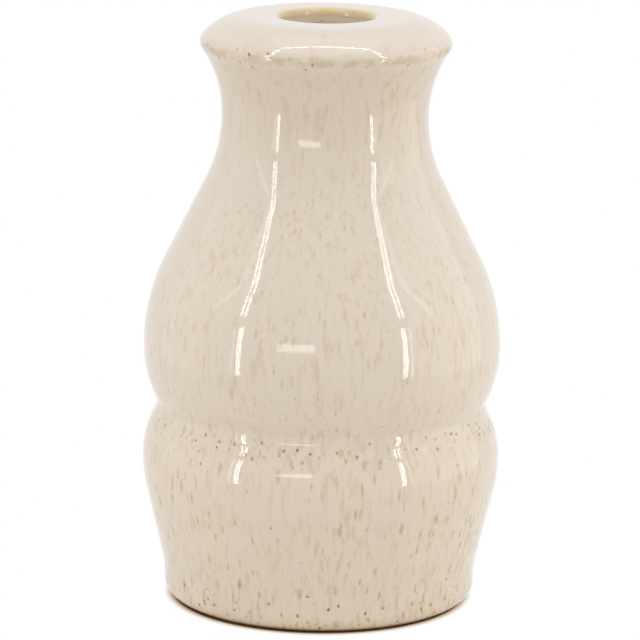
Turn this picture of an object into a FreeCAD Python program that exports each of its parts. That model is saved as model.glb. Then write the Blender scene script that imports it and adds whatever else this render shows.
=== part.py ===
import FreeCAD, Part
import math
import os
import Sketcher

# Bottle vase: one hollow stoneware casting, and the glaze that is fused over it.
# Everything is turned about +Z, and the vase stands on the plane at height zero.
# A depth is measured inwards from the glazed outside, square to the surface.

os.makedirs("parts", exist_ok=True)
document = FreeCAD.newDocument("BottleVase")

# Driving sizes in millimetres
sizes = {
    # The glazed outside where the side stands upright: the two main diameters, how far the
    # side swells or draws in between them, and how far each place lies above the one before it
    "bellyDiameter": 100.0,
    "neckDiameter": 57.5,
    "bellyOverhang": 3.8,
    "ledgeOverhang": 3.9,
    "footInset": 6.35,
    "rimOverhang": 6.15,
    "footRound": 4.2,
    "footBand": 0.3,
    "lowerAbove": 35.8,
    "waistAbove": 15.9,
    "bellyAbove": 15.5,
    "neckAbove": 65.3,
    "rimAbove": 20.4,
    "crownAbove": 7.3,
    # Rounds with a size of their own: the two sides of the waist, the rim's edge and the crown
    "waistLedgeRound": 8.8,
    "waistUnderRound": 1.1,
    "rimRound": 3.1,
    "crownRound": 15.2,
    # Rounds beside a straight run, as shares of the two radii that would leave no straight run
    "footFlareShare": 0.346,
    "lowerBulgeShare": 0.385,
    "shoulderShare": 0.505,
    "neckCurveShare": 0.365,
    # The mouth
    "mouthDiameter": 25.4,
    "lipRound": 2.1,
    "underLipRound": 1.5,
    # The fired clay's wall, floor and inside corners
    "clayWall": 4.5,
    "floorThickness": 6.0,
    "floorCornerRound": 9.0,
    "crownCornerRound": 6.0,
    # The bare foot
    "footRingWidth": 8.0,
    "recessDepth": 1.5,
    "ringEdgeRound": 0.6,
    # The glaze
    "glazeThickness": 0.4,
    "bareFootHeight": 0.9,
    # How far a cut runs past the face that it opens
    "cutOverrun": 5.0,
}


class Measure:
    # A length as a number, with the formula that keeps it tied to the driving sizes.
    def __init__(self, value, formula):
        self.value = value
        self.formula = formula

    def __add__(self, other):
        return Measure(self.value + other.value, f"({self.formula} + {other.formula})")

    def __sub__(self, other):
        return Measure(self.value - other.value, f"({self.formula} - {other.formula})")

    def __mul__(self, other):
        return Measure(self.value * other.value, f"({self.formula} * {other.formula})")

    def __truediv__(self, other):
        return Measure(self.value / other.value, f"({self.formula} / {other.formula})")

    def half(self):
        return Measure(self.value / 2, f"({self.formula} / 2)")


def size(name):
    return Measure(sizes[name], f"Sizes.{name}")


# The depth of the glazed outside itself, and the height of the plane that the vase stands on
zero = Measure(0, "0")


def makeSheet():
    sheet = document.addObject("Spreadsheet::Sheet", "Sizes")
    for row, (name, value) in enumerate(sizes.items(), start=1):
        sheet.set(f"A{row}", name)
        sheet.set(f"B{row}", str(value))
        sheet.setAlias(f"B{row}", name)
    document.recompute()


# The glazed outside

# The belly overhangs the waist, the waist's ledge stands out below it, and the foot is set in
bellyRadius = size("bellyDiameter").half()
waistRadius = bellyRadius - size("bellyOverhang")
lowerRadius = waistRadius + size("ledgeOverhang")

# Radius and height of each place where the side stands upright
foot = (lowerRadius - size("footInset"), size("footRound") + size("footBand"))
lower = (lowerRadius, foot[1] + size("lowerAbove"))
waist = (waistRadius, lower[1] + size("waistAbove"))
belly = (bellyRadius, waist[1] + size("bellyAbove"))
neck = (size("neckDiameter").half(), belly[1] + size("neckAbove"))
rim = (neck[0] + size("rimOverhang"), neck[1] + size("rimAbove"))
vaseHeight = rim[1] + size("crownAbove")


def bothRadii(narrow, wide):
    # The sum of the two radii of an S-shaped stretch that has no straight run.
    step = wide[0] - narrow[0]
    rise = wide[1] - narrow[1]
    return (step * step + rise * rise) / (step + step)


class Round:
    # An arc that starts or ends upright at a station. A bulge is centred inside the wall and
    # a hollow curve outside it, so at a depth a bulge is tighter and a hollow curve wider.
    def __init__(self, station, radius, bulges):
        self.station = station
        self.radius = radius
        self.bulges = bulges
        self.centre = (station[0] - radius if bulges else station[0] + radius, station[1])

    def at(self, depth):
        return self.radius - depth if self.bulges else self.radius + depth


lowerSum = bothRadii(foot, lower)
upperSum = bothRadii(neck, belly)
footFlare = Round(foot, size("footFlareShare") * lowerSum, False)
lowerBulge = Round(lower, size("lowerBulgeShare") * lowerSum, True)
ledge = Round(lower, bothRadii(waist, lower) - size("waistLedgeRound"), True)
waistLedge = Round(waist, size("waistLedgeRound"), False)
waistUnder = Round(waist, size("waistUnderRound"), False)
bellyUnder = Round(belly, bothRadii(waist, belly) - size("waistUnderRound"), True)
shoulder = Round(belly, size("shoulderShare") * upperSum, True)
neckCurve = Round(neck, size("neckCurveShare") * upperSum, False)
rimFlare = Round(neck, bothRadii(neck, rim) - size("rimRound"), False)
rimEdge = Round(rim, size("rimRound"), True)


def numbers(place):
    return tuple(measure.value for measure in place)


def spot(place):
    return FreeCAD.Vector(place[0], place[1], 0)


def partWay(start, end, distance):
    share = distance / math.dist(start, end)
    return tuple(a + (b - a) * share for a, b in zip(start, end))


def bendPoints(low, high, depth):
    # Where two rounds leave the straight run, or each other, on their crossing tangent.
    start, end = numbers(low.centre), numbers(high.centre)
    radii = low.at(depth).value, high.at(depth).value
    swing = math.acos(min(sum(radii) / math.dist(start, end), 1))
    heading = math.atan2(end[1] - start[1], end[0] - start[0])
    heading += -swing if low.bulges else swing
    across = (math.cos(heading), math.sin(heading))
    lowEnd = tuple(c + radii[0] * a for c, a in zip(start, across))
    highEnd = tuple(c - radii[1] * a for c, a in zip(end, across))
    return lowEnd, highEnd


def originFeature(body, role):
    return next(feature for feature in body.Origin.OriginFeatures if feature.Role == role)


class Outline:
    # A closed outline in the plane of the axis, walked piece by piece from its start.
    # Across is the radius and up is the height. Each piece begins where the last one ended.
    def __init__(self, body, name, start):
        self.sketch = body.newObject("Sketcher::SketchObject", name)
        self.sketch.AttachmentSupport = (originFeature(body, "XZ_Plane"), [""])
        self.sketch.MapMode = "FlatFace"
        self.start = start
        self.here = start
        self.pieces = []

    def hold(self, *what):
        return self.sketch.addConstraint(Sketcher.Constraint(*what))

    def bind(self, measure, *what):
        place = self.hold(*what, measure.value)
        self.sketch.setExpression(f"Constraints[{place}]", measure.formula)

    def add(self, curve, ends, smooth):
        index = self.sketch.addGeometry(curve, False)
        if self.pieces:
            before, beforeEnds = self.pieces[-1]
            self.hold("Tangent" if smooth else "Coincident", before, beforeEnds[1], index, ends[0])
        self.pieces.append((index, ends))
        return index

    def line(self, end, smooth=False):
        segment = Part.LineSegment(spot(self.here), spot(end))
        self.here = end
        return self.add(segment, (1, 2), smooth)

    def arc(self, centre, end, smooth=True):
        start, stop = [math.atan2(p[1] - centre[1], p[0] - centre[0]) for p in (self.here, end)]
        forward = math.remainder(stop - start, 2 * math.pi) > 0
        circle = Part.Circle(spot(centre), FreeCAD.Vector(0, 0, 1), math.dist(centre, end))
        curve = Part.ArcOfCircle(circle, start, stop) if forward else Part.ArcOfCircle(circle, stop, start)
        self.here = end
        return self.add(curve, (1, 2) if forward else (2, 1), smooth)

    def placeEnd(self, radius, height):
        index, ends = self.pieces[-1]
        self.bind(radius, "DistanceX", -1, 1, index, ends[1])
        self.bind(height, "DistanceY", -1, 1, index, ends[1])

    def uprightAt(self, which):
        # The last arc is upright at its start (0) or its end (1): its centre is level with it.
        index, ends = self.pieces[-1]
        self.hold("Horizontal", index, 3, index, ends[which])

    def guideCircle(self, centre, radius):
        # A circle that guides the outline and isn't part of it.
        circle = Part.Circle(spot(numbers(centre)), FreeCAD.Vector(0, 0, 1), radius.value)
        index = self.sketch.addGeometry(circle, True)
        self.bind(centre[0], "DistanceX", -1, 1, index, 3)
        self.bind(centre[1], "DistanceY", -1, 1, index, 3)
        self.bind(radius, "Radius", index)
        return index

    def closeOnAxis(self):
        # Down the axis to the start, which lies on it.
        axis = self.line((0, self.start[1]))
        self.hold("PointOnObject", axis, 1, -2)
        self.hold("Coincident", axis, 2, self.pieces[0][0], 1)


def drawStretch(outline, low, high, depth, straight=False):
    # Two rounds that meet in an S, with or without a straight run between them. Without one,
    # the larger radius follows from the smaller, so only the smaller is given.
    lowEnd, highEnd = bendPoints(low, high, depth)
    lowArc = outline.arc(numbers(low.centre), lowEnd, smooth=False)
    outline.uprightAt(0)
    if straight:
        outline.line(highEnd, smooth=True)
    highArc = endUpright(outline, high, depth)
    if straight or low.radius.value < high.radius.value:
        outline.bind(low.at(depth), "Radius", lowArc)
    if straight or high.radius.value <= low.radius.value:
        outline.bind(high.at(depth), "Radius", highArc)


def endUpright(outline, curve, depth):
    # The round that brings the outline upright at its station.
    station = (curve.station[0] - depth, curve.station[1])
    index = outline.arc(numbers(curve.centre), numbers(station))
    outline.placeEnd(*station)
    outline.uprightAt(1)
    return index


def drawAboveBulge(outline, depth):
    # From the widest place of the lower part up to the neck.
    drawStretch(outline, ledge, waistLedge, depth)
    drawStretch(outline, waistUnder, bellyUnder, depth)
    drawStretch(outline, shoulder, neckCurve, depth, straight=True)


def drawFoot(outline, depth):
    # The resting face, the rounded edge and the upright band above it.
    radius = foot[0] - depth
    edge = size("footRound") - depth
    corner = radius.value - edge.value
    bottom = outline.line((corner, 0))
    outline.hold("Coincident", bottom, 1, -1, 1)
    outline.hold("Horizontal", bottom)
    edgeArc = outline.arc((corner, edge.value), (radius.value, edge.value))
    outline.bind(edge, "Radius", edgeArc)
    band = outline.line((radius.value, foot[1].value), smooth=True)
    outline.hold("Vertical", band)
    outline.placeEnd(radius, foot[1])


def drawCrown(outline, depth):
    # Round the rim's edge and over the crown to the flat round the mouth.
    top = vaseHeight - depth
    crown = size("crownRound")
    rimCentre = numbers(rimEdge.centre)
    level = vaseHeight.value - crown.value
    apart = crown.value - rimEdge.radius.value
    crownCentre = (rimCentre[0] - math.sqrt(apart ** 2 - (rimCentre[1] - level) ** 2), level)
    edgeArc = outline.arc(rimCentre, partWay(rimCentre, crownCentre, -rimEdge.at(depth).value), smooth=False)
    outline.uprightAt(0)
    outline.bind(rimEdge.at(depth), "Radius", edgeArc)
    crownArc = outline.arc(crownCentre, (crownCentre[0], top.value))
    outline.bind(crown - depth, "Radius", crownArc)
    flat = outline.line((0, top.value), smooth=True)
    outline.hold("Horizontal", flat)
    outline.bind(top, "DistanceY", -1, 1, flat, 2)


def drawOutside(body, depth):
    # The vase as if it were solid, a depth inside the glazed outside.
    outline = Outline(body, body.Name + "_outside", (0, 0))
    drawFoot(outline, depth)
    drawStretch(outline, footFlare, lowerBulge, depth, straight=True)
    drawAboveBulge(outline, depth)
    drawStretch(outline, rimFlare, rimEdge, depth)
    drawCrown(outline, depth)
    outline.closeOnAxis()
    return outline.sketch


def drawFloor(outline, depth, floor, corner):
    # The floor, its corner and the straight run of the lower wall, which carries on down to it.
    lowEnd, highEnd = bendPoints(footFlare, lowerBulge, depth)
    alongX, alongY = partWay((0, 0), (highEnd[0] - lowEnd[0], highEnd[1] - lowEnd[1]), 1)
    level = (floor + corner).value
    climb = (level - lowEnd[1] - corner.value * alongX) / alongY
    touch = (lowEnd[0] + climb * alongX, lowEnd[1] + climb * alongY)
    centre = (touch[0] - corner.value * alongY, level)
    floorLine = outline.line((centre[0], floor.value))
    outline.hold("PointOnObject", floorLine, 1, -2)
    outline.hold("Horizontal", floorLine)
    outline.bind(floor, "DistanceY", -1, 1, floorLine, 1)
    outline.bind(corner, "Radius", outline.arc(centre, touch))
    wall = outline.line(highEnd, smooth=True)
    outline.hold("Tangent", wall, outline.guideCircle(footFlare.centre, footFlare.at(depth)))
    outline.bind(lowerBulge.at(depth), "Radius", endUpright(outline, lowerBulge, depth))


def drawCeiling(outline, depth, ceiling, corner, mouth):
    # The flare above the neck, the corner under the crown and the ceiling out to the mouth.
    flareX, flareY = numbers(rimFlare.centre)
    apart = (rimFlare.at(depth) + corner).value
    level = (ceiling - corner).value
    centre = (flareX - math.sqrt(apart ** 2 - (level - flareY) ** 2), level)
    flareEnd = partWay(centre, (flareX, flareY), corner.value)
    flareArc = outline.arc((flareX, flareY), flareEnd, smooth=False)
    outline.uprightAt(0)
    outline.bind(rimFlare.at(depth), "Radius", flareArc)
    outline.bind(corner, "Radius", outline.arc(centre, (centre[0], ceiling.value)))
    outline.hold("Horizontal", outline.line((mouth.value, ceiling.value), smooth=True))
    outline.placeEnd(mouth, ceiling)


def drawHollow(body, outerDepth):
    # The hollow and the mouth above it. The coat is the glaze that this form carries.
    coat = size("glazeThickness") - outerDepth
    depth = wallDepth(coat)
    floor = size("recessDepth") + size("floorThickness") + coat
    ceiling = vaseHeight - depth
    top = vaseHeight + size("cutOverrun")
    mouth = size("mouthDiameter").half() + outerDepth
    outline = Outline(body, body.Name + "_hollow", (0, floor.value))
    drawFloor(outline, depth, floor, size("floorCornerRound") - coat)
    drawAboveBulge(outline, depth)
    drawCeiling(outline, depth, ceiling, size("crownCornerRound") - coat, mouth)
    outline.hold("Vertical", outline.line((mouth.value, top.value)))
    topLine = outline.line((0, top.value))
    outline.hold("Horizontal", topLine)
    outline.bind(top, "DistanceY", -1, 1, topLine, 1)
    outline.closeOnAxis()
    return outline.sketch


def wallDepth(coat):
    # From the glazed outside in to the hollow, which may carry a coat of its own.
    return size("glazeThickness") + size("clayWall") + coat


def turn(body, kind, sketch):
    feature = body.newObject(kind, sketch.Name + "_turned")
    feature.Profile = sketch
    feature.ReferenceAxis = (sketch, ["V_Axis"])
    feature.Angle = 360
    body.Tip = feature
    document.recompute()


def cutRecess(body):
    # The foot ring is what stays of the resting face round this shallow recess.
    radius = foot[0] - size("footRound") - size("footRingWidth")
    sketch = body.newObject("Sketcher::SketchObject", body.Name + "_recess")
    sketch.AttachmentSupport = (originFeature(body, "XY_Plane"), [""])
    sketch.MapMode = "FlatFace"
    circle = sketch.addGeometry(Part.Circle(spot((0, 0)), FreeCAD.Vector(0, 0, 1), radius.value), False)
    sketch.addConstraint(Sketcher.Constraint("Coincident", circle, 3, -1, 1))
    bound = sketch.addConstraint(Sketcher.Constraint("Radius", circle, radius.value))
    sketch.setExpression(f"Constraints[{bound}]", radius.formula)
    before = body.Shape.Volume
    pocket = body.newObject("PartDesign::Pocket", body.Name + "_recess_cut")
    pocket.Profile = sketch
    pocket.Reversed = True
    pocket.setExpression("Length", size("recessDepth").formula)
    body.Tip = pocket
    document.recompute()
    if not body.Shape.Volume < before:
        raise RuntimeError("the recess cut nothing")
    return radius


def nearestCircle(shape, radius, height):
    # The name of the circular edge closest to a radius and a height.
    def miss(edge):
        return abs(edge.Curve.Radius - radius.value) + abs(edge.Curve.Center.z - height.value)
    circles = {f"Edge{n}": edge for n, edge in enumerate(shape.Edges, start=1) if isCircle(edge)}
    return min(circles, key=lambda name: miss(circles[name]))


def isCircle(edge):
    return isinstance(edge.Curve, Part.Circle)


def roundEdges(body, name, places, measure):
    solid = body.Tip
    edges = [nearestCircle(solid.Shape, *place) for place in places]
    fillet = body.newObject("PartDesign::Fillet", f"{body.Name}_{name}")
    fillet.Base = (solid, edges)
    fillet.setExpression("Radius", measure.formula)
    body.Tip = fillet
    document.recompute()


def makeForm(name, depth):
    # The whole hollow vase, a depth inside the glazed outside.
    body = document.addObject("PartDesign::Body", name)
    turn(body, "PartDesign::Revolution", drawOutside(body, depth))
    turn(body, "PartDesign::Groove", drawHollow(body, depth))
    mouth = size("mouthDiameter").half() + depth
    coat = size("glazeThickness") - depth
    ceiling = vaseHeight - wallDepth(coat)
    roundEdges(body, "lip", [(mouth, vaseHeight - depth)], size("lipRound") - depth)
    roundEdges(body, "under_lip", [(mouth, ceiling)], size("underLipRound") - depth)
    recess = cutRecess(body)
    roundEdges(body, "ring", [(recess, zero), (recess, size("recessDepth"))], size("ringEdgeRound"))
    return body


def makeStoneware():
    return makeForm("stoneware_body", size("glazeThickness"))


def makeGlaze(stoneware):
    # What the glazed form holds outside the clay, down to the bare foot.
    glazed = makeForm("glazed_form", zero)
    coat = document.addObject("Part::Cut", "coat")
    coat.Base = glazed
    coat.Tool = stoneware
    bare = document.addObject("Part::Cylinder", "bare_foot")
    bare.setExpression("Radius", (foot[0] + size("cutOverrun")).formula)
    bare.setExpression("Height", (size("bareFootHeight") + size("cutOverrun")).formula)
    bare.setExpression("Placement.Base.z", f"0 - {size('cutOverrun').formula}")
    glaze = document.addObject("Part::Cut", "glaze_coat")
    glaze.Base = coat
    glaze.Tool = bare
    return glaze


def checkAndWrite(parts):
    document.recompute()
    for thing in document.Objects:
        if "Invalid" in thing.State or "Error" in thing.State:
            raise RuntimeError(f"{thing.Name} failed: {thing.State}")
    for part in parts:
        if part.Shape.isNull() or not part.Shape.isValid() or len(part.Shape.Solids) != 1:
            raise RuntimeError(f"{part.Name} is not one valid solid")
        part.Label = part.Name
        part.Shape.exportStep(f"parts/{part.Label}.step")
        box = part.Shape.optimalBoundingBox(False)
        print(f"{part.Label}: volume {part.Shape.Volume:.0f} cubic mm, height {box.ZMin:.2f} to {box.ZMax:.2f}")


makeSheet()
stonewareBody = makeStoneware()
checkAndWrite([stonewareBody, makeGlaze(stonewareBody)])
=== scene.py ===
import bpy
import bmesh
import math
from mathutils import Euler, Matrix, Vector, noise


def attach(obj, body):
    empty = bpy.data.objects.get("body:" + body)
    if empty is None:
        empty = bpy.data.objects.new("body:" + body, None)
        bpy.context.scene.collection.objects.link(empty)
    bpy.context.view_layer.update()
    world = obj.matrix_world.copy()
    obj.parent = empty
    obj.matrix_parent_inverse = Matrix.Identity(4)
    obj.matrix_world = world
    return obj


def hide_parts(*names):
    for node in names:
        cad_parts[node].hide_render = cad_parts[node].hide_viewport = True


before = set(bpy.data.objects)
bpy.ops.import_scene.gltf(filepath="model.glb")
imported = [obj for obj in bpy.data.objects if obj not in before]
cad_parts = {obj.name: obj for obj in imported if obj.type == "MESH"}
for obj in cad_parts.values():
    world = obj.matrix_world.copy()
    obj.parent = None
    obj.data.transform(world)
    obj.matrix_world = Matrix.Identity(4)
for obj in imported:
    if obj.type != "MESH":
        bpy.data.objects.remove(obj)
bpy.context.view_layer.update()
mm = 0.001


# Shader nodes

class Signal:
    # A node's output. Sums and products of signals add their own Math nodes.
    def __init__(self, recipe, socket):
        self.recipe = recipe
        self.socket = socket

    def math(self, operation, first, second=0.0):
        return self.recipe.node("ShaderNodeMath", {"operation": operation}, {0: first, 1: second})

    def __add__(self, other):
        return self.math("ADD", self, other)

    def __radd__(self, other):
        return self.math("ADD", other, self)

    def __sub__(self, other):
        return self.math("SUBTRACT", self, other)

    def __rsub__(self, other):
        return self.math("SUBTRACT", other, self)

    def __mul__(self, other):
        return self.math("MULTIPLY", self, other)

    def __rmul__(self, other):
        return self.math("MULTIPLY", other, self)

    def __truediv__(self, other):
        return self.math("DIVIDE", self, other)

    def __pow__(self, other):
        return self.math("POWER", self, other)

    def either(self, other):
        return self.math("MAXIMUM", self, other)

    def beside(self, name):
        # Another output of the same node.
        return Signal(self.recipe, self.socket.node.outputs[name])


class Recipe:
    # A material's or the world's nodes, from an empty start.
    def __init__(self, tree):
        self.tree = tree
        tree.nodes.clear()

    def node(self, kind, settings=None, inputs=None, output=0):
        made = self.tree.nodes.new(kind)
        for name, value in (settings or {}).items():
            setattr(made, name, value)
        for socket, value in (inputs or {}).items():
            if isinstance(value, Signal):
                self.tree.links.new(value.socket, made.inputs[socket])
            else:
                made.inputs[socket].default_value = value
        return Signal(self, made.outputs[output]) if made.outputs else None

    def rise(self, signal, low, high):
        # 0 at low, 1 at high and smooth in between. It falls where high is the smaller.
        turned = low > high
        sockets = {"Value": signal, "From Min": min(low, high), "From Max": max(low, high),
                   "To Min": float(turned), "To Max": float(not turned)}
        return self.node("ShaderNodeMapRange", {"interpolation_type": "SMOOTHSTEP"}, sockets)

    def blend(self, share, first, second):
        # The Mix node's sockets 6 and 7 and its output 2 are those for colours.
        return self.node("ShaderNodeMix", {"data_type": "RGBA"}, {0: share, 6: first, 7: second}, 2)

    def vector(self, operation, first, second, output="Vector"):
        return self.node("ShaderNodeVectorMath", {"operation": operation}, {0: first, 1: second}, output)

    def stretch(self, vector, scale):
        return self.vector("MULTIPLY", vector, scale)

    def cloud(self, vector, scale, detail=2.0, roughness=0.5):
        return self.node("ShaderNodeTexNoise", None,
                         {"Vector": vector, "Scale": scale, "Detail": detail, "Roughness": roughness})

    def cells(self, vector, scale):
        # The distance to the middle of the nearest cell, and a number drawn for that cell.
        distance = self.node("ShaderNodeTexVoronoi", None, {"Vector": vector, "Scale": scale})
        lot = self.node("ShaderNodeSeparateColor", None, {0: distance.beside("Color")})
        return distance, lot

    def rays(self):
        # 1 for what the camera sees, straight or in a gloss.
        straight = self.node("ShaderNodeLightPath")
        glossy, through = straight.beside("Is Glossy Ray"), straight.beside("Is Transmission Ray")
        return straight.either(glossy).either(through)


def tint(red, green, blue):
    # A colour as a screen shows it, 0 to 255.
    def linear(level):
        share = level / 255
        return share / 12.92 if share <= 0.04045 else ((share + 0.055) / 1.055) ** 2.4
    return (linear(red), linear(green), linear(blue), 1.0)


def newMaterial(name):
    material = bpy.data.materials.new(name)
    material.use_nodes = True
    return material, Recipe(material.node_tree)


# Camera

view = {
    "pitch": 12.905,      # degrees down
    "distance": 1146.77,  # from the axis, along the floor, in millimetres
    "aimHeight": 78.54,
    "roll": 0.812,        # the photograph leans by this many degrees
    "lens": 236.25,
    "filmWidth": 36,
    "shift": -0.00363,
    "nearest": 10,        # what is closer than this, in millimetres, isn't drawn
}


def makeCamera():
    camera = bpy.data.objects.new("camera", bpy.data.cameras.new("camera"))
    bpy.context.scene.collection.objects.link(camera)
    pitch = math.radians(view["pitch"])
    height = view["aimHeight"] + view["distance"] * math.tan(pitch)
    lean = Matrix.Rotation(math.radians(view["roll"]), 3, "Z")
    turn = Euler((math.pi / 2 - pitch, 0, 0)).to_matrix() @ lean
    camera.location = (0, -view["distance"] * mm, height * mm)
    camera.rotation_euler = turn.to_euler()
    camera.data.sensor_width = view["filmWidth"]
    camera.data.lens = view["lens"]
    camera.data.shift_x = view["shift"]
    camera.data.clip_start = view["nearest"] * mm
    bpy.context.scene.camera = camera


makeCamera()
print("camera placed")


# Room: a white floor and the lights of a small photo tent

room = {
    "skyFill": 0.67,                  # how strongly the white room lights the vase
    "floorSize": 4000,                # from its middle to each side
    "floorColour": tint(238, 236, 232),
    # Painted shadow: the floor is painted warm by the foot and dark brown right under its edge
    "paintedWarmShadeByFoot": tint(244, 226, 198),
    "paintedShadowUnderFoot": tint(122, 96, 70),
    # The painted shadow on the floor: its middle, where its darkest part ends, and where it thins out
    "shadowMiddle": (-0.3, -1.2, 0),
    "shadowCore": (40.6, 41.6),
    "shadowEdge": (41.2, 44.0),
    # The left upright light strip, seen from above, and the two heights between which each
    # stretch of it runs, with the offset, width and brightness of its rows of lamps
    "stripPlace": (-246, -192),
    "stripRows": (
        (18, 153, ((-12, 6, 13.0), (-3, 6, 13.0), (17, 4, 6.0))),
        (182, 345, ((-9, 6, 15.0), (7, 6, 15.0))),
    ),
    "cornerEnd": (-140, -45, 425),    # where the strip from the upright one's top meets the roof
    "cornerBrightness": 10.0,
    "roofStrip": ((-128, -32, 430), (128, -32, 430)),
    "roofWidth": 11,
    "roofBrightness": 10.0,
    "roofTarget": (0, 0, 150),
    "panelHeight": 620,               # the soft panel overhead
    "panelSize": 420,
    "panelBrightness": 0.6,
    "wallPlace": (330, -20, 160),     # the middle of the bright right wall
    "wallSize": (380, 320),
    "wallBrightness": (0.60, 0.30),   # right and left
    "foldEnds": ((-312, -88, 167), (-253, -175, 312)),   # a bright fold before the left wall
    "foldWidth": 14,
    "foldBrightness": 1.5,
    "foldTarget": (0, 0, 100),
    "barEnds": ((-200, -388, 122), (-30, -412, 126)),    # the bright bar in front
    "barWidth": 30,
    "barBrightness": 4.4,
}


def addLight(name, start, end, width, target, brightness):
    # A lamp from one place to another, turned about that line to face the target.
    start, end, target = [Vector(place) * mm for place in (start, end, target)]
    middle = (start + end) / 2
    along = (end - start).normalized()
    back = middle - target
    back = (back - back.dot(along) * along).normalized()
    lamp = bpy.data.lights.new(name, "AREA")
    lamp.shape = "RECTANGLE"
    lamp.size = width * mm
    lamp.size_y = (end - start).length
    lamp.energy = brightness * math.pi * lamp.size * lamp.size_y
    light = bpy.data.objects.new(name, lamp)
    light.location = middle
    light.rotation_euler = Matrix((along.cross(back), along, back)).transposed().to_euler()
    light.visible_camera = False
    bpy.context.scene.collection.objects.link(light)


def lightStrips():
    x, y = room["stripPlace"]
    outwards = Vector((y, -x)).normalized()
    for side in (1, -1):
        for low, high, rows in room["stripRows"]:
            for offset, width, brightness in rows:
                place = (Vector((x, y)) + offset * outwards) * Vector((side, 1))
                target = (0, 0, (low + high) / 2)
                addLight("strip", (*place, low), (*place, high), width, target, brightness)
        mirror = Vector((side, 1, 1))
        corner = Vector(room["cornerEnd"])
        addLight("cornerStrip", Vector((x, y, high)) * mirror, corner * mirror, room["roofWidth"],
                 room["roofTarget"], room["cornerBrightness"])
        foldLow, foldHigh = [Vector(end) * mirror for end in room["foldEnds"]]
        addLight("fold", foldLow, foldHigh, room["foldWidth"], room["foldTarget"], room["foldBrightness"])


def lightWalls():
    addLight("roofStrip", *room["roofStrip"], room["roofWidth"], room["roofTarget"], room["roofBrightness"])
    half, height = room["panelSize"] / 2, room["panelHeight"]
    addLight("panel", (0, -half, height), (0, half, height), room["panelSize"], (0, 0, 0),
             room["panelBrightness"])
    x, y, z = room["wallPlace"]
    length, height = room["wallSize"]
    for side, brightness in zip((1, -1), room["wallBrightness"]):
        front, back = (x * side, y - length / 2, z), (x * side, y + length / 2, z)
        addLight("wall", front, back, height, (0, y, z), brightness)
    barTarget = (0, 0, room["barEnds"][0][2])
    addLight("bar", *room["barEnds"], room["barWidth"], barTarget, room["barBrightness"])


def makeSky():
    world = bpy.data.worlds.new("world")
    world.use_nodes = True
    bpy.context.scene.world = world
    sky = Recipe(world.node_tree)
    seen = sky.rays()
    strength = seen + (1 - seen) * room["skyFill"]
    light = sky.node("ShaderNodeBackground", None, {"Color": (1, 1, 1, 1), "Strength": strength})
    sky.node("ShaderNodeOutputWorld", None, {"Surface": light})


def makeFloor():
    form = bmesh.new()
    bmesh.ops.create_grid(form, x_segments=1, y_segments=1, size=room["floorSize"] * mm)
    mesh = bpy.data.meshes.new("floor")
    form.to_mesh(mesh)
    form.free()
    floor = bpy.data.objects.new("floor", mesh)
    bpy.context.scene.collection.objects.link(floor)
    material, recipe = newMaterial("white floor")
    place = recipe.node("ShaderNodeTexCoord", output="Object")
    middle = Vector(room["shadowMiddle"]) * mm
    away = recipe.vector("DISTANCE", place, middle, "Value") / mm
    lit = recipe.rise(away, *room["shadowEdge"])
    # Painted shadow: near the foot the floor's colour turns warm, then dark brown under the foot's edge
    paintedShade = recipe.blend(recipe.rise(away, *room["shadowCore"]), room["paintedShadowUnderFoot"], room["paintedWarmShadeByFoot"])
    colour = recipe.blend(lit, paintedShade, room["floorColour"])
    paint = recipe.node("ShaderNodeBsdfDiffuse", None, {"Color": colour})
    glow = recipe.node("ShaderNodeEmission", None, {"Color": (1, 1, 1, 1), "Strength": 1.0})
    surface = recipe.node("ShaderNodeMixShader", None, {0: recipe.rays() * lit, 1: paint, 2: glow})
    recipe.node("ShaderNodeOutputMaterial", None, {"Surface": surface})
    mesh.materials.append(material)


lightStrips()
lightWalls()
makeSky()
makeFloor()
print("room lit")


# Glaze: the coat that shows everywhere but under the foot

vaseShape = {
    # Radius and height of each place where the side stands upright, in millimetres
    "foot": (43.75, 4.5),
    "lower": (50.1, 40.3),
    "waist": (46.2, 56.2),
    "belly": (50.0, 71.7),
    "neck": (28.75, 137.0),
    "rim": (34.9, 157.4),
    "top": 164.69,
    # Rounds, on the glazed outside
    "footRound": 4.2,
    "footFlare": 36.0,
    "lowerBulge": 40.1,
    "waistLedge": 8.8,
    "waistUnder": 1.1,
    "shoulder": 56.0,
    "neckCurve": 40.5,
    "rimEdge": 3.1,
    "crown": 15.2,
    # Mouth and inside
    "mouth": 12.7,
    "lip": 2.1,
    "underLip": 1.5,
    "wall": 4.9,           # clay and outer glaze
    "coat": 0.4,
    "floor": 7.9,
    "floorCorner": 8.6,
    "ceilingCorner": 5.6,
    "bareFoot": 0.9,
    # Mesh
    "outsideStep": 1.3,    # the longest edge, in millimetres
    "insideStep": 3.2,
    "turns": 192,          # faces round the axis
    "mergeWithin": 0.005,  # points closer than this, in millimetres, become one
    "straightRun": 0.02,   # a straight run shorter than this is left out
    "mostTurn": 7,         # degrees from one edge to the next in a round
    # How far the hand-finished side strays inwards, over which distance, and from where
    "unevenness": 0.06,
    "unevenSize": 26,
    "unevenFrom": 5,
    "finerTimes": 3,       # a second stray is so many times finer
    "finerShare": 0.5,     # and has this share of the first one's strength
}


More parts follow.
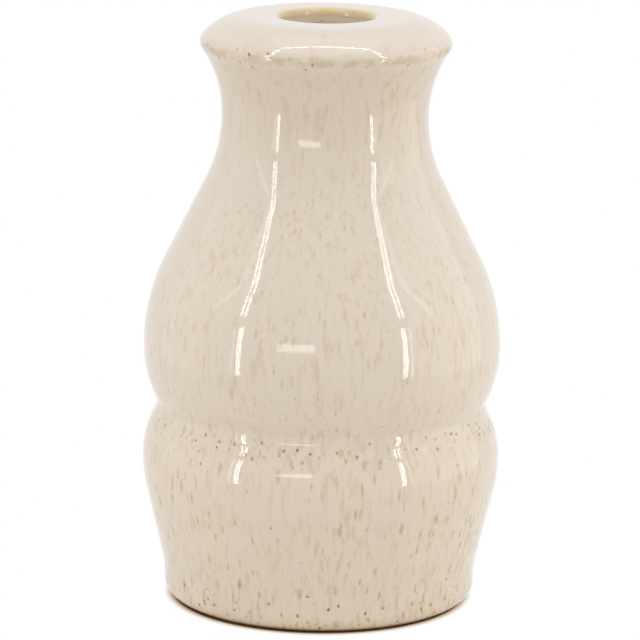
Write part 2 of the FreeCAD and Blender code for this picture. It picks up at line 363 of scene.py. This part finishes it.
class ProfileLine:
    # Edges drawn in the plane of the axis, tip first: across is the radius and up the height.
    def __init__(self, form, across, up):
        self.form = form
        self.tip = bmesh.ops.create_vert(form, co=(across * mm, 0, up * mm))["vert"][0]
        self.step = vaseShape["outsideStep"]

    def place(self):
        return (self.tip.co.x / mm, self.tip.co.z / mm)

    def sweep(self, centre, turn):
        # Round a centre, anticlockwise where turn is positive.
        radius = math.dist(centre, self.place())
        most = math.radians(vaseShape["mostTurn"])
        steps = max(2, math.ceil(abs(turn) / min(self.step / radius, most)))
        made = bmesh.ops.spin(self.form, geom=[self.tip], cent=(centre[0] * mm, 0, centre[1] * mm),
                              axis=(0, -1, 0), angle=turn, steps=steps)
        self.tip = next(item for item in made["geom_last"] if isinstance(item, bmesh.types.BMVert))

    def reach(self, across, up):
        start, end = self.tip.co.copy(), Vector((across, 0, up)) * mm
        steps = math.ceil((end - start).length / (self.step * mm))
        for count in range(1, steps + 1):
            self.tip = bmesh.ops.extrude_vert_indiv(self.form, verts=[self.tip])["verts"][0]
            self.tip.co = start.lerp(end, count / steps)

    def swell(self, start, end, startRound, endRound, depth):
        # Upright to upright by two rounds and the straight run between them, at a depth
        # inside the glazed outside.
        way = math.copysign(1, end[0] - start[0])
        startRadius, endRadius = startRound + way * depth, endRound - way * depth
        startCentre = (start[0] - depth + way * startRadius, start[1])
        endCentre = (end[0] - depth - way * endRadius, end[1])
        swing = math.acos(min((startRadius + endRadius) / math.dist(startCentre, endCentre), 1))
        heading = math.atan2(endCentre[1] - startCentre[1], endCentre[0] - startCentre[0])
        before = math.pi if way > 0 else 0.0
        turns = [math.remainder(heading + side * swing - before, 2 * math.pi) for side in (-1, 1)]
        turn = min(turns, key=abs)
        self.sweep(startCentre, turn)
        after = before + turn
        run = (endCentre[0] - endRadius * math.cos(after), endCentre[1] - endRadius * math.sin(after))
        if math.dist(self.place(), run) > vaseShape["straightRun"]:
            self.reach(*run)
        self.sweep(endCentre, -turn)


def bothRounds(narrow, wide):
    # The two radii together of an S-shaped side without a straight run.
    step, rise = wide[0] - narrow[0], wide[1] - narrow[1]
    return (step ** 2 + rise ** 2) / (2 * step)


def drawVase(line, skin):
    # The section of the vase from the foot, over the lip and down to the middle of the floor.
    # The skin is 0 on the glaze and the coat's thickness on the clay under it.
    shape = vaseShape
    foot, lower, waist = shape["foot"], shape["lower"], shape["waist"]
    belly, neck, rim, top = shape["belly"], shape["neck"], shape["rim"], shape["top"]
    ledge = bothRounds(waist, lower) - shape["waistLedge"]
    bellyUnder = bothRounds(waist, belly) - shape["waistUnder"]
    flare = bothRounds(neck, rim) - shape["rimEdge"]

    if skin > 0:
        line.step = shape["insideStep"]
    edge = shape["footRound"] - skin
    start = math.asin((shape["bareFoot"] - shape["footRound"]) / edge)
    line.sweep((foot[0] - shape["footRound"], shape["footRound"]), -start)
    line.reach(foot[0] - skin, foot[1])
    line.swell(foot, lower, shape["footFlare"], shape["lowerBulge"], skin)
    line.swell(lower, waist, ledge, shape["waistLedge"], skin)
    line.swell(waist, belly, shape["waistUnder"], bellyUnder, skin)
    line.swell(belly, neck, shape["shoulder"], shape["neckCurve"], skin)
    line.swell(neck, rim, flare, shape["rimEdge"], skin)

    rimCentre = (rim[0] - shape["rimEdge"], rim[1])
    level = top - shape["crown"]
    reach = shape["crown"] - shape["rimEdge"]
    crownCentre = (rimCentre[0] - math.sqrt(reach ** 2 - (rimCentre[1] - level) ** 2), level)
    slope = math.atan2(rimCentre[1] - crownCentre[1], rimCentre[0] - crownCentre[0])
    line.sweep(rimCentre, slope)
    line.sweep(crownCentre, math.pi / 2 - slope)

    mouth, lip = shape["mouth"], shape["lip"]
    underLip = shape["underLip"] - skin
    depth = shape["wall"] + shape["coat"] - skin
    ceiling = top - depth
    line.reach(mouth + lip, top - skin)
    line.sweep((mouth + lip, top - lip), math.pi / 2)
    line.reach(mouth + skin, ceiling + underLip)
    line.step = shape["insideStep"]
    line.sweep((mouth + skin + underLip, ceiling + underLip), math.pi / 2)

    corner = shape["ceilingCorner"] + skin
    flareCentre = (neck[0] + flare, neck[1])
    level = ceiling - corner
    cornerCentre = (flareCentre[0] - math.sqrt((flare + depth + corner) ** 2 - (level - neck[1]) ** 2), level)
    slope = math.atan2(flareCentre[1] - level, flareCentre[0] - cornerCentre[0])
    line.reach(cornerCentre[0], ceiling)
    line.sweep(cornerCentre, slope - math.pi / 2)
    line.sweep(flareCentre, -slope)
    line.swell(neck, belly, shape["neckCurve"], shape["shoulder"], depth)
    line.swell(belly, waist, bellyUnder, shape["waistUnder"], depth)
    line.swell(waist, lower, shape["waistLedge"], ledge, depth)

    # The lower wall leans in by the same angle as outside and runs straight into the floor's corner
    apart = math.dist((foot[0] + shape["footFlare"], foot[1]), (lower[0] - shape["lowerBulge"], lower[1]))
    swing = math.acos((shape["footFlare"] + shape["lowerBulge"]) / apart)
    heading = math.atan2(lower[1] - foot[1], foot[0] + shape["footFlare"] - lower[0] + shape["lowerBulge"])
    lean = heading - swing
    line.sweep((lower[0] - shape["lowerBulge"], lower[1]), -lean)
    floor, corner = shape["floor"] - skin, shape["floorCorner"] + skin
    across, up = line.place()
    drop = up - (floor + corner - corner * math.sin(lean))
    across -= drop * math.tan(lean)
    line.reach(across, up - drop)
    line.sweep((across - corner * math.cos(lean), floor + corner), lean - math.pi / 2)
    line.reach(0, floor)


def makeUneven(form):
    shape = vaseShape
    for vertex in form.verts:
        across = math.hypot(vertex.co.x, vertex.co.y)
        if across > shape["unevenFrom"] * mm:
            spot = vertex.co / (shape["unevenSize"] * mm)
            sway = noise.noise(spot) + shape["finerShare"] * noise.noise(spot * shape["finerTimes"])
            inwards = shape["unevenness"] * mm * min(max((1 + sway) / 2, 0), 1)
            vertex.co.x *= 1 - inwards / across
            vertex.co.y *= 1 - inwards / across


def makeGlazeForm():
    shape = vaseShape
    form = bmesh.new()
    edge = shape["footRound"]
    drop = edge - shape["bareFoot"]
    starts = []
    for skin in (0, shape["coat"]):
        across = shape["foot"][0] - edge + math.sqrt((edge - skin) ** 2 - drop ** 2)
        line = ProfileLine(form, across, shape["bareFoot"])
        starts.append(line.tip)
        drawVase(line, skin)
    form.edges.new(starts)
    section = list(form.verts) + list(form.edges)
    bmesh.ops.spin(form, geom=section, cent=(0, 0, 0), axis=(0, 0, 1), angle=2 * math.pi,
                   steps=shape["turns"], use_merge=True)
    bmesh.ops.remove_doubles(form, verts=form.verts, dist=shape["mergeWithin"] * mm)
    makeUneven(form)
    bmesh.ops.recalc_face_normals(form, faces=form.faces)
    for face in form.faces:
        face.smooth = True
    return form


glazeLook = {
    "cream": tint(214, 201, 185),
    "warmCream": tint(220, 205, 183),
    # Painted light: the top of the crown is painted paler, as though lit from above
    "paintedLitCream": tint(222, 213, 204),
    "inside": tint(255, 234, 202),   # the thicker, whiter glaze inside, painted brighter still as painted light against the shade in the mouth
    "tan": tint(180, 154, 112),
    "olive": tint(158, 132, 86),
    "iron": tint(86, 58, 30),
    "rust": tint(174, 134, 80),
    "honey": tint(212, 181, 126),
    "roughness": 0.06,
    "index": 1.5,
    # The glaze's waves and its finest ripple: how many to the metre, how finely they are
    # broken up, and their height in millimetres
    "waves": ((130, 1.0, 0.022), (1300, 1.0, 0.0065)),
    # The notches in the outlines of marks: how many to the metre, and their depth
    "shake": (900, 1.1),
    # Clouds: how many to the metre, the share of that along the height, how finely they are
    # broken up, and the levels at which they begin and are full
    "clouds": {
        "drift": (70, 0.5, (2.0, 0.5), (0.36, 0.64)),
        "broken": (330, 1.0, (3.0, 0.6), (0.42, 0.6)),
        "streaks": (620, 0.165, (3.0, 0.6), (0.48, 0.72)),
    },
    # Single marks: how many cells to the metre, the share of that along the height, how far from
    # a cell's middle its mark begins and is full, the lots that give a cell the faintest and the
    # full mark, and what each zone adds to the lots in it
    "marks": {
        "dashes": (580, 0.23, (0.36, 0.10), (0.25, 0.95), {}),
        "blotches": (300, 0.32, (0.30, 0.08), (0.45, 1.05), {"lowest": 0.35}),
        "dots": (470, 0.8, (0.15, 0.07), (0.98, 1.1),
                 {"ledge": 0.95, "rimBand": 0.68, "nearFoot": 0.85, "lowest": 0.08}),
    },
    "rings": (0.36, 0.12),           # the paler ring round each dot
    # Heights above the floor at which a zone begins and is full, from one side or from both
    "heights": {
        "lipEdge": ((161.6, 163.4),),
        "rimEdge": ((154.8, 156.6), (158.8, 157.2)),
        "rimBand": ((153.5, 155.5), (160.0, 158.0)),
        "crown": ((158.5, 160.5),),
        # neck: the band under the rim that is painted darker as painted shade from the rim's overhang
        "neck": ((122.0, 142.0), (156.0, 153.0)),
        "ledge": ((47.5, 50.5), (55.6, 54.0)),
        "low": ((125.0, 15.0),),
        "lowest": ((100.0, 12.0),),
        "nearFoot": ((14.0, 4.0),),
        "footEdge": ((6.0, 1.0),),
    },
    # The same for distances from the axis
    "distances": {"lipEdge": (15.1, 13.4), "rimEdge": (33.8, 34.5), "rimBand": (31.0, 33.0)},
    "insideSlant": 0.3,              # what faces the axis by more than this share is inside
    "insideBlend": 0.1,              # and it blends in over this much
    "crownFade": 0.65,               # how much fainter streaks and dashes are on the crown
    # Layers from the lowest up: the colour, where it lies, how strong it is there, and what each
    # mask adds to that
    "layers": (
        ("warmCream", (), 0.0, {"drift": 0.15, "lowest": 0.62}),
        # Painted shade: the neck under the rim is darkened with tan, here and by more streaks in the next
        # layer
        ("tan", ("neck",), 0.15, {}),
        # Painted light: the crown's upward face is painted paler
        ("paintedLitCream", ("crown",), 0.24, {}),
        ("tan", ("streaks", "offCrown"), 0.12, {"drift": 0.16, "low": 0.12, "neck": 0.12}),
        ("tan", ("dashes", "offCrown"), 0.20, {"drift": 0.18, "low": 0.42}),
        ("olive", ("blotches",), 0.12, {"lowest": 0.40}),
        ("honey", ("lipEdge",), 0.6, {"broken": 0.35}),
        ("honey", ("footEdge",), 0.05, {"broken": 0.15}),
        ("tan", ("rimEdge",), 0.14, {"broken": 0.34}),
        # Painted light: the inside colour is raised to lift the shade in the mouth
        ("inside", ("inside", "offLip"), 0.9, {"brokenStreaks": -0.4}),
        ("rust", ("rings",), 0.55, {}),
        ("iron", ("dots",), 0.9, {}),
    ),
}


def glazeZones(recipe, place):
    # A mask for each zone of the vase, 0 outside it and 1 well inside.
    look = glazeLook
    x = recipe.node("ShaderNodeSeparateXYZ", None, {0: place})
    y, z = x.beside("Y"), x.beside("Z")
    up, out = z / mm, (x * x + y * y) ** 0.5 / mm
    masks = {}
    for name, edges in look["heights"].items():
        masks[name] = math.prod(recipe.rise(up, *ends) for ends in edges)
    for name, ends in look["distances"].items():
        masks[name] *= recipe.rise(out, *ends)
    facing = recipe.node("ShaderNodeTexCoord", output="Normal")
    outwards = recipe.vector("DOT_PRODUCT", facing, recipe.stretch(place, (1, 1, 0)), "Value")
    masks["inside"] = recipe.rise(outwards / mm + look["insideSlant"] * out, 0.0, -look["insideBlend"])
    masks["offLip"] = 1 - masks["lipEdge"]
    masks["offCrown"] = 1 - look["crownFade"] * masks["crown"]
    return masks


def addMarks(recipe, place, masks):
    # More masks: clouds all over, then single dashes, blotches and iron dots.
    look = glazeLook
    scale, depth = look["shake"]
    shake = recipe.stretch(recipe.cloud(place, scale).beside("Color"), (depth * mm,) * 3)
    ragged = recipe.vector("ADD", place, shake)
    for name, (scale, upright, detail, levels) in look["clouds"].items():
        start = ragged if name == "streaks" else place
        cloud = recipe.cloud(recipe.stretch(start, (1, 1, upright)), scale, *detail)
        masks[name] = recipe.rise(cloud, *levels)
    masks["brokenStreaks"] = masks["streaks"] * masks["broken"]

    for name, (scale, upright, ends, lots, crowds) in look["marks"].items():
        distance, lot = recipe.cells(recipe.stretch(ragged, (1, 1, upright)), scale)
        crowd = 0.0
        for zone, share in crowds.items():
            crowd = (masks[zone] * share).either(crowd)
        chosen = recipe.rise(lot + crowd, *lots)
        masks[name] = recipe.rise(distance, *ends) * chosen
        if name == "dots":
            masks["rings"] = recipe.rise(distance, *look["rings"]) * chosen


def glazeColour(recipe, masks):
    look = glazeLook
    colour = look["cream"]
    for name, places, strength, more in look["layers"]:
        share = sum((masks[mask] * added for mask, added in more.items()), strength)
        share = math.prod((masks[mask] for mask in places), start=share)
        colour = recipe.blend(share, colour, look[name])
    return colour


def glazeMaterial():
    look = glazeLook
    material, recipe = newMaterial("speckled glaze")
    place = recipe.node("ShaderNodeTexCoord", output="Object")
    masks = glazeZones(recipe, place)
    addMarks(recipe, place, masks)
    waves = sum(recipe.cloud(place, scale, detail) * height for scale, detail, height in look["waves"])
    bump = recipe.node("ShaderNodeBump", None, {"Strength": 1.0, "Distance": mm, "Height": waves})
    surface = recipe.node("ShaderNodeBsdfPrincipled", None, {
        "Base Color": glazeColour(recipe, masks), "Roughness": look["roughness"], "IOR": look["index"],
        "Normal": bump})
    recipe.node("ShaderNodeOutputMaterial", None, {"Surface": surface})
    return material


def makeGlaze():
    form = makeGlazeForm()
    mesh = bpy.data.meshes.new("speckledGlaze")
    form.to_mesh(mesh)
    form.free()
    mesh.materials.append(glazeMaterial())
    glaze = bpy.data.objects.new("speckledGlaze", mesh)
    bpy.context.scene.collection.objects.link(glaze)
    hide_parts("glaze_coat")
    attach(glaze, "root")
    print("glaze laid:", len(mesh.polygons), "faces")


makeGlaze()


# Clay: the bare foot

clayLook = {
    "buff": tint(206, 186, 158),
    "darkBuff": tint(178, 152, 120),
    "roughness": 0.82,
    # Clouds: how many to the metre and how finely they are broken up, then the levels at which
    # they begin and are full, and how dark they are
    "grain": (1400, 4.0, 0.65),
    "grainLevels": (0.45, 0.75),
    "grainShare": 0.5,
    "stain": (90, 3.0, 0.5),
    "stainLevels": (0.35, 0.7),
    "stainShare": 0.3,
    "grainHeight": 0.05,
    "grainStrength": 0.6,
}


def clayMaterial():
    look = clayLook
    material, recipe = newMaterial("fired clay")
    place = recipe.node("ShaderNodeTexCoord", output="Object")
    grain, stain = recipe.cloud(place, *look["grain"]), recipe.cloud(place, *look["stain"])
    grains = recipe.rise(grain, *look["grainLevels"]) * look["grainShare"]
    stains = recipe.rise(stain, *look["stainLevels"]) * look["stainShare"]
    colour = recipe.blend(grains + stains, look["buff"], look["darkBuff"])
    bump = recipe.node("ShaderNodeBump", None, {
        "Strength": look["grainStrength"], "Distance": look["grainHeight"] * mm, "Height": grain})
    surface = recipe.node("ShaderNodeBsdfPrincipled", None, {
        "Base Color": colour, "Roughness": look["roughness"], "Normal": bump})
    recipe.node("ShaderNodeOutputMaterial", None, {"Surface": surface})
    return material


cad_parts["stoneware_body"].material_slots[0].material = clayMaterial()
print("clay finished")

bpy.context.scene.view_settings.view_transform = "Standard"
